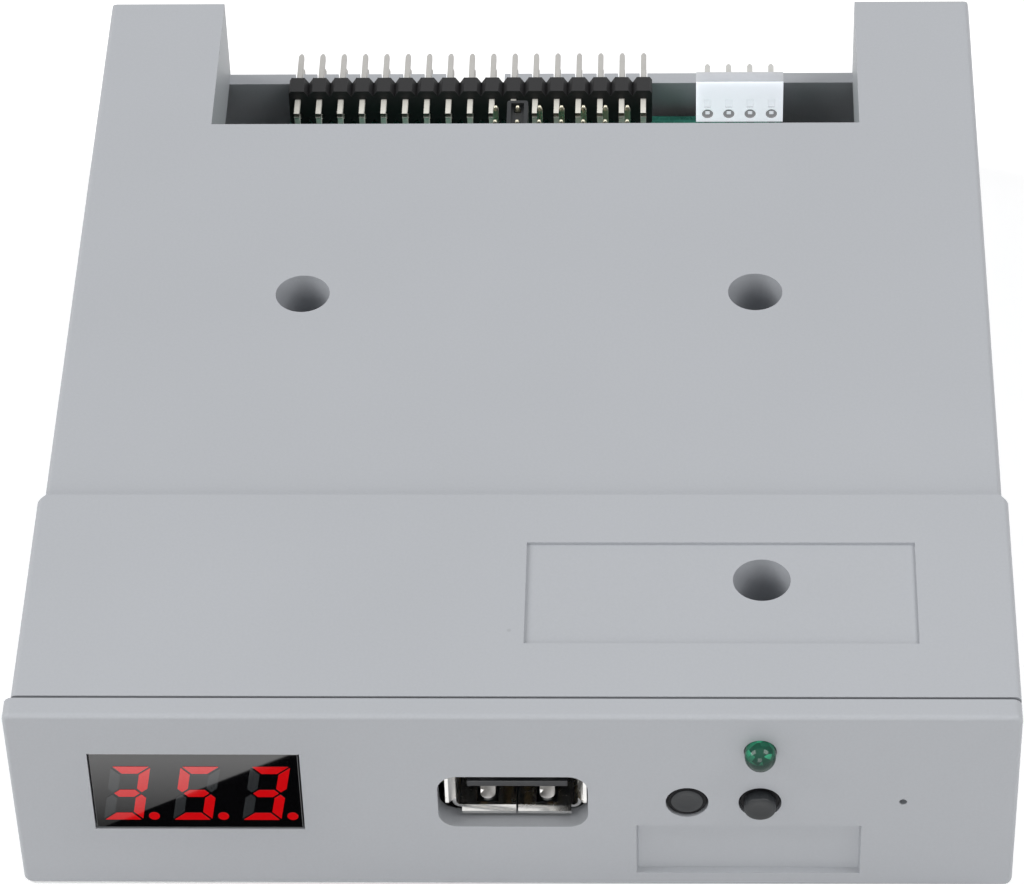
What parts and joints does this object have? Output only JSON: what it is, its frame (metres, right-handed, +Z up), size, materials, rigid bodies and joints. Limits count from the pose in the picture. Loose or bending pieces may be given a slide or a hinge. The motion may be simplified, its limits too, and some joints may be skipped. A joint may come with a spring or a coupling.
{
  "type": "floppy drive emulator",
  "caption": "Slim floppy drive emulator for a 3.5 inch bay: clip-on bezel with digit display, USB socket, lamp and two push buttons, cable bay with pin headers at the rear.",
  "frame": {"origin": "middle of the flat underside, in the plane of the base", "axes": "+X to the right seen from the front, +Y from the bezel towards the connectors at the rear, +Z up"},
  "size_m": [0.1016, 0.1202, 0.0254],
  "materials": {
    "case_plastic": "fine satin",
    "circuit_board": "green solder mask",
    "display_gloss": "polished black with red digits",
    "black_moulding": "satin",
    "nickel_plate": "bright nickel",
    "lamp_green": "clear tinted resin",
    "button_black": "satin",
    "white_nylon": "satin",
    "zinc_steel": "zinc plated",
    "can_metal": "bright drawn can",
    "contact_plate": "pale gold flash"
  },
  "bodies": {
    "root": {"bezel": "case_plastic", "top_cover": "case_plastic", "bottom_shell": "case_plastic", "main_board": "circuit_board", "display_board": "circuit_board", "display_module": "display_gloss", "display_header": "black_moulding", "usb_shell": "nickel_plate", "usb_insulator": "black_moulding", "indicator_lamp": "lamp_green", "left_switch": "black_moulding", "right_switch": "black_moulding", "ribbon_header": "black_moulding", "power_connector": "white_nylon", "jumper_header": "black_moulding", "jumper_cap": "button_black", "case_screw_rear_left": "zinc_steel", "case_screw_rear_right": "zinc_steel", "case_screw_front": "zinc_steel", "microcontroller": "black_moulding", "crystal": "can_metal", "voltage_regulator": "black_moulding", "electrolytic_capacitor": "can_metal", "ribbon_pin_upper_01": "contact_plate", "ribbon_pin_upper_02": "contact_plate", "ribbon_pin_upper_03": "contact_plate", "ribbon_pin_upper_04": "contact_plate", "ribbon_pin_upper_05": "contact_plate", "ribbon_pin_upper_06": "contact_plate", "ribbon_pin_upper_07": "contact_plate", "ribbon_pin_upper_08": "contact_plate", "ribbon_pin_upper_09": "contact_plate", "ribbon_pin_upper_10": "contact_plate", "ribbon_pin_upper_11": "contact_plate", "ribbon_pin_upper_12": "contact_plate", "ribbon_pin_upper_13": "contact_plate", "ribbon_pin_upper_14": "contact_plate", "ribbon_pin_upper_15": "contact_plate", "ribbon_pin_upper_16": "contact_plate", "ribbon_pin_upper_17": "contact_plate", "ribbon_pin_lower_01": "contact_plate", "ribbon_pin_lower_02": "contact_plate", "ribbon_pin_lower_03": "contact_plate", "ribbon_pin_lower_04": "contact_plate", "ribbon_pin_lower_05": "contact_plate", "ribbon_pin_lower_06": "contact_plate", "ribbon_pin_lower_07": "contact_plate", "ribbon_pin_lower_08": "contact_plate", "ribbon_pin_lower_09": "contact_plate", "ribbon_pin_lower_10": "contact_plate", "ribbon_pin_lower_11": "contact_plate", "ribbon_pin_lower_12": "contact_plate", "ribbon_pin_lower_13": "contact_plate", "ribbon_pin_lower_14": "contact_plate", "ribbon_pin_lower_15": "contact_plate", "ribbon_pin_lower_16": "contact_plate", "ribbon_pin_lower_17": "contact_plate"},
    "left_button": {"left_button": "button_black"},
    "right_button": {"right_button": "button_black"}
  },
  "joints": [
    {"name": "left_button_press", "type": "slide", "parent": "root", "child": "left_button", "axis": [0, 1, 0], "range_m": [0, 0.00025], "stiffness_N_per_m": 400},
    {"name": "right_button_press", "type": "slide", "parent": "root", "child": "right_button", "axis": [0, 1, 0], "range_m": [0, 0.00025], "stiffness_N_per_m": 400}
  ]
}
